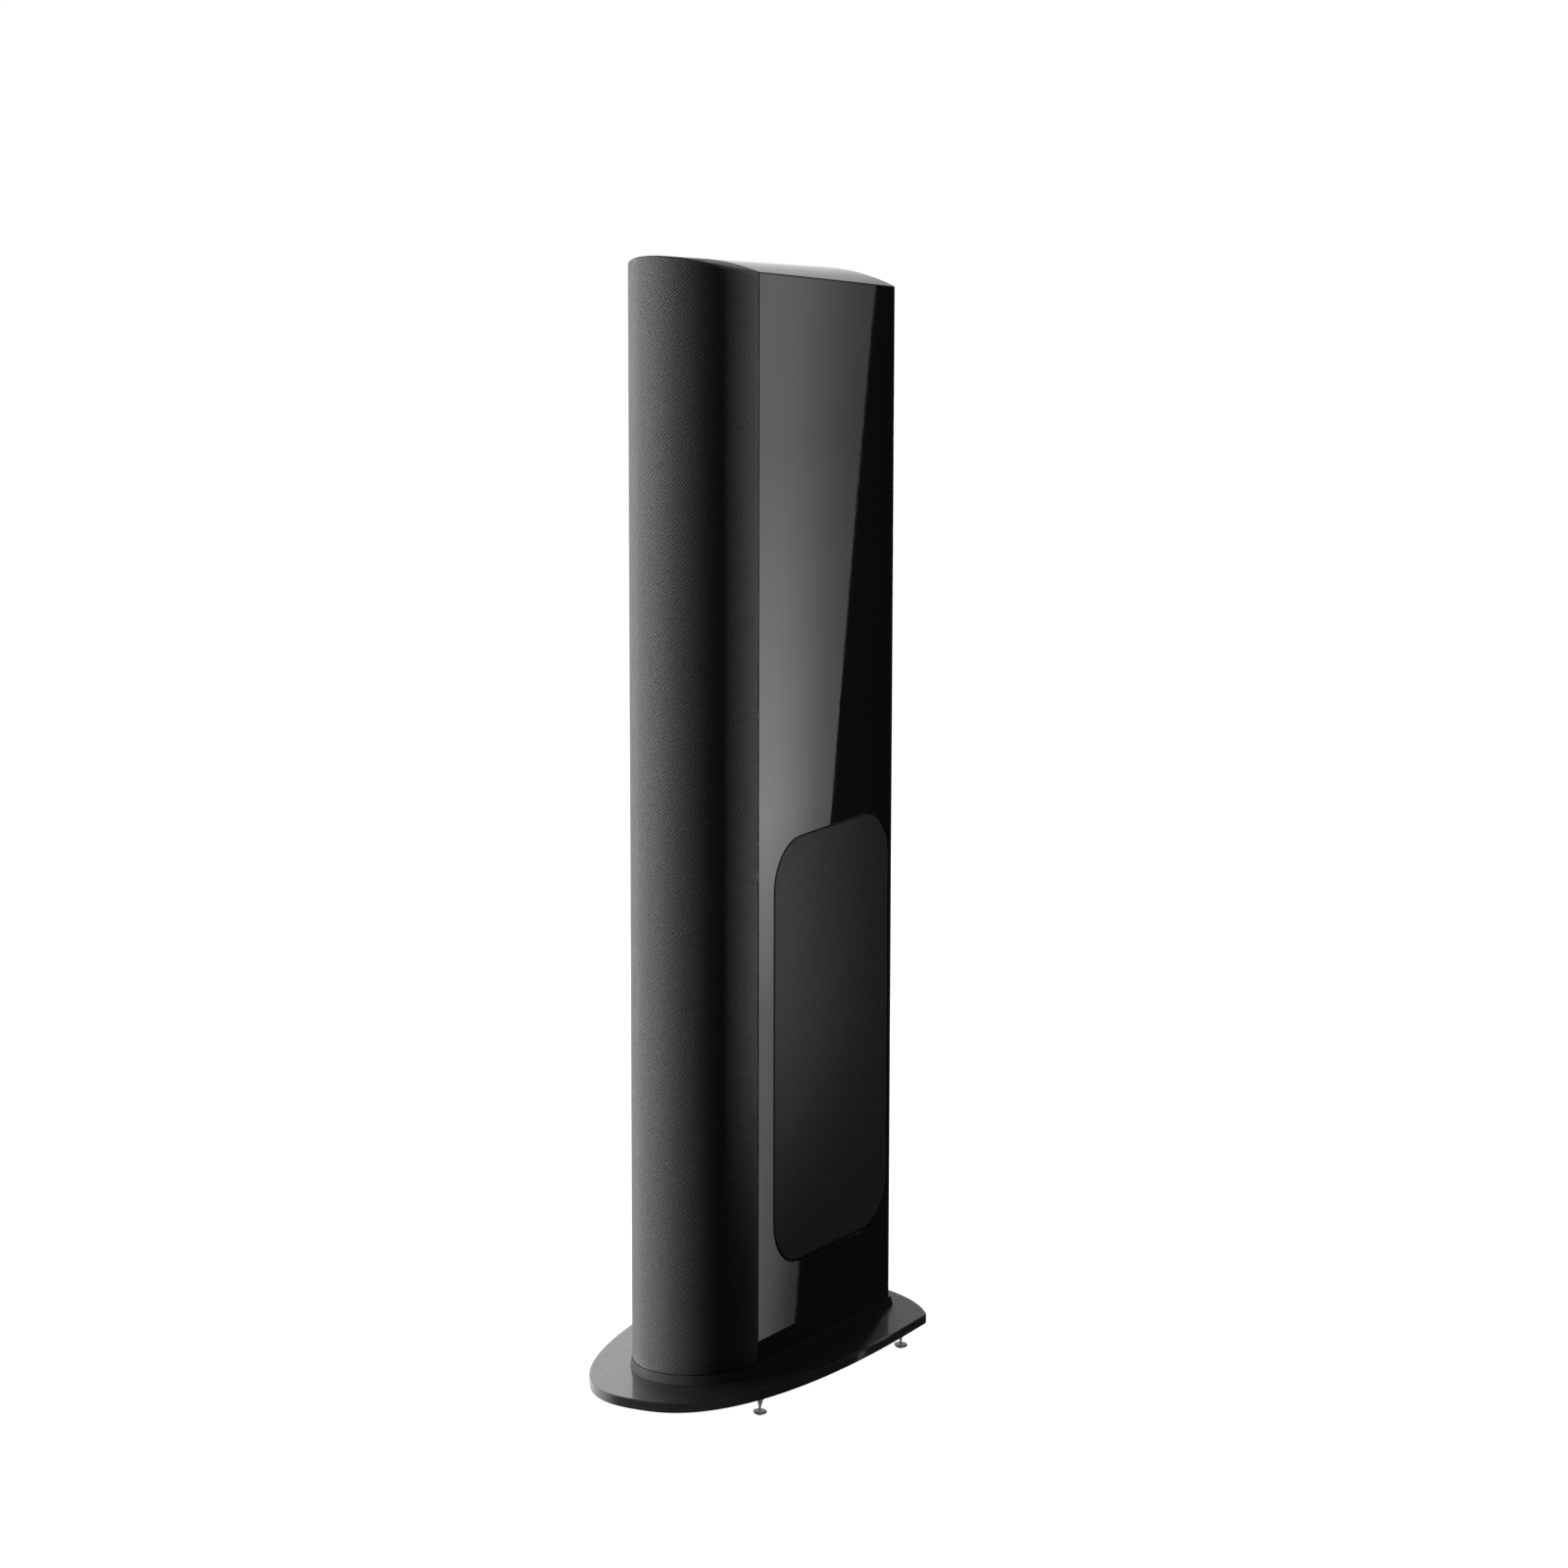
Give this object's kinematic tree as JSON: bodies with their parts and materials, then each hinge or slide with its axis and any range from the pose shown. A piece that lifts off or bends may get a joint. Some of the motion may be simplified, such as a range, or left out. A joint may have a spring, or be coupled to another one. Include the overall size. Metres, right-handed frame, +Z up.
{
  "type": "floorstanding speaker",
  "caption": "Slim floorstanding powered tower speaker: tapered gloss black cabinet, bowed cloth front grille, flush side grilles, wide oval base on levelling feet.",
  "frame": {"origin": "middle of the footprint on the floor, under the feet", "axes": "+Z up, the bowed front grille faces -Y, +X to the right when looking along +Y at the front"},
  "size_m": [0.272, 0.4769, 1.1988],
  "materials": {
    "gloss_black_lacquer": "high-gloss black lacquer on board",
    "satin_black_board": "satin black paint on board",
    "bare_board": "bare fibreboard",
    "grille_cloth": "charcoal woven acoustic cloth",
    "grille_plastic": "moulded black frame",
    "cast_basket": "grey-black powder-coated casting",
    "faceplate": "satin black anodised",
    "motor_steel": "plated steel and ferrite",
    "ribbon_foil": "pleated foil",
    "cone": "satin black diaphragm",
    "surround_rubber": "matt black rubber",
    "black_screw": "black oxide",
    "zinc_steel": "zinc plated",
    "amp_plate_paint": "fine-textured black powder coat",
    "heat_sink_black": "black anodised fins",
    "circuit_board": "solder mask green",
    "inlet_plastic": "moulded black",
    "gold_contact": "gold plated",
    "red_cap": "clear-coated red",
    "black_cap": "gloss black",
    "knob_plastic": "satin black",
    "socket_rubber": "soft black rubber",
    "brass_insert": "plain brass",
    "chrome_foot": "bright chrome"
  },
  "bodies": {
    "cabinet": {"ac_inlet": "inlet_plastic", "amp_module": "circuit_board", "amp_plate": "amp_plate_paint", "base_bolts": "zinc_steel", "base_plate": "gloss_black_lacquer", "binding_posts": "gold_contact", "crossover_board": "circuit_board", "driver_screws": "black_screw", "foot_inserts": "brass_insert", "front_baffle": "satin_black_board", "grille_sockets": "socket_rubber", "heat_sink": "heat_sink_black", "input_jack": "gold_contact", "internal_shelves": "bare_board", "left_radiator_surround": "surround_rubber", "lower_mid_suspension": "surround_rubber", "lower_woofer_suspension": "surround_rubber", "mid_baskets": "cast_basket", "mid_motors": "motor_steel", "panel_screws": "black_screw", "plinth_plate": "gloss_black_lacquer", "radiator_frames": "cast_basket", "rear_panel": "satin_black_board", "right_radiator_surround": "surround_rubber", "side_panel_left": "gloss_black_lacquer", "side_panel_right": "gloss_black_lacquer", "top_cap": "gloss_black_lacquer", "tweeter_faceplate": "faceplate", "tweeter_motor": "motor_steel", "tweeter_ribbon": "ribbon_foil", "upper_mid_suspension": "surround_rubber", "upper_woofer_suspension": "surround_rubber", "window_brace": "bare_board", "woofer_baskets": "cast_basket", "woofer_motors": "motor_steel"},
    "front_grille": {"front_grille_frame": "grille_plastic", "front_grille_cloth": "grille_cloth"},
    "left_side_grille": {"left_grille_frame": "grille_plastic", "left_grille_cloth": "grille_cloth"},
    "right_side_grille": {"right_grille_frame": "grille_plastic", "right_grille_cloth": "grille_cloth"},
    "upper_mid_diaphragm": {"upper_mid_cone": "cone"},
    "lower_mid_diaphragm": {"lower_mid_cone": "cone"},
    "upper_woofer_diaphragm": {"upper_woofer_cone": "cone"},
    "lower_woofer_diaphragm": {"lower_woofer_cone": "cone"},
    "left_radiator_diaphragm": {"left_radiator_panel": "cone"},
    "right_radiator_diaphragm": {"right_radiator_panel": "cone"},
    "level_control": {"level_knob": "knob_plastic"},
    "red_post_clamp": {"red_post_cap": "red_cap", "red_post_washer": "gold_contact"},
    "black_post_clamp": {"black_post_cap": "black_cap", "black_post_washer": "gold_contact"},
    "front_left_foot": {"front_left_foot_disc": "chrome_foot", "front_left_foot_spike": "chrome_foot"},
    "front_right_foot": {"front_right_foot_disc": "chrome_foot", "front_right_foot_spike": "chrome_foot"},
    "rear_left_foot": {"rear_left_foot_disc": "chrome_foot", "rear_left_foot_spike": "chrome_foot"},
    "rear_right_foot": {"rear_right_foot_disc": "chrome_foot", "rear_right_foot_spike": "chrome_foot"}
  },
  "joints": [
    {"name": "front_grille_pull", "type": "slide", "parent": "cabinet", "child": "front_grille", "axis": [0, -1, 0], "range_m": [0, 0.1]},
    {"name": "left_grille_pull", "type": "slide", "parent": "cabinet", "child": "left_side_grille", "axis": [-0.9979, -0.0653, 0], "range_m": [0, 0.04]},
    {"name": "right_grille_pull", "type": "slide", "parent": "cabinet", "child": "right_side_grille", "axis": [0.9979, -0.0653, 0], "range_m": [0, 0.04]},
    {"name": "upper_mid_stroke", "type": "slide", "parent": "cabinet", "child": "upper_mid_diaphragm", "axis": [0, -1, 0], "range_m": [-0.004, 0.004], "stiffness_N_per_m": 1200, "deforming": ["upper_mid_suspension"]},
    {"name": "lower_mid_stroke", "type": "slide", "parent": "cabinet", "child": "lower_mid_diaphragm", "axis": [0, -1, 0], "range_m": [-0.004, 0.004], "stiffness_N_per_m": 1200, "deforming": ["lower_mid_suspension"]},
    {"name": "upper_woofer_stroke", "type": "slide", "parent": "cabinet", "child": "upper_woofer_diaphragm", "axis": [0, -1, 0], "range_m": [-0.008, 0.008], "stiffness_N_per_m": 1000, "deforming": ["upper_woofer_suspension"]},
    {"name": "lower_woofer_stroke", "type": "slide", "parent": "cabinet", "child": "lower_woofer_diaphragm", "axis": [0, -1, 0], "range_m": [-0.008, 0.008], "stiffness_N_per_m": 1000, "deforming": ["lower_woofer_suspension"]},
    {"name": "left_radiator_stroke", "type": "slide", "parent": "cabinet", "child": "left_radiator_diaphragm", "axis": [-0.9979, -0.0653, 0], "range_m": [-0.008, 0.008], "stiffness_N_per_m": 1500, "deforming": ["left_radiator_surround"]},
    {"name": "right_radiator_stroke", "type": "slide", "parent": "cabinet", "child": "right_radiator_diaphragm", "axis": [0.9979, -0.0653, 0], "range_m": [-0.008, 0.008], "stiffness_N_per_m": 1500, "deforming": ["right_radiator_surround"]},
    {"name": "level_knob_turn", "type": "hinge", "parent": "cabinet", "child": "level_control", "pos_m": [0.026, 0.18, 0.3], "axis": [0, 1, 0], "range_deg": [-150, 150]},
    {"name": "red_post_travel", "type": "slide", "parent": "cabinet", "child": "red_post_clamp", "axis": [0, 1, 0], "range_m": [0, 0.006]},
    {"name": "black_post_travel", "type": "slide", "parent": "cabinet", "child": "black_post_clamp", "axis": [0, 1, 0], "range_m": [0, 0.006]},
    {"name": "front_left_foot_travel", "type": "slide", "parent": "cabinet", "child": "front_left_foot", "axis": [0, 0, -1], "range_m": [0, 0.006]},
    {"name": "front_right_foot_travel", "type": "slide", "parent": "cabinet", "child": "front_right_foot", "axis": [0, 0, -1], "range_m": [0, 0.006]},
    {"name": "rear_left_foot_travel", "type": "slide", "parent": "cabinet", "child": "rear_left_foot", "axis": [0, 0, -1], "range_m": [0, 0.006]},
    {"name": "rear_right_foot_travel", "type": "slide", "parent": "cabinet", "child": "rear_right_foot", "axis": [0, 0, -1], "range_m": [0, 0.006]}
  ]
}
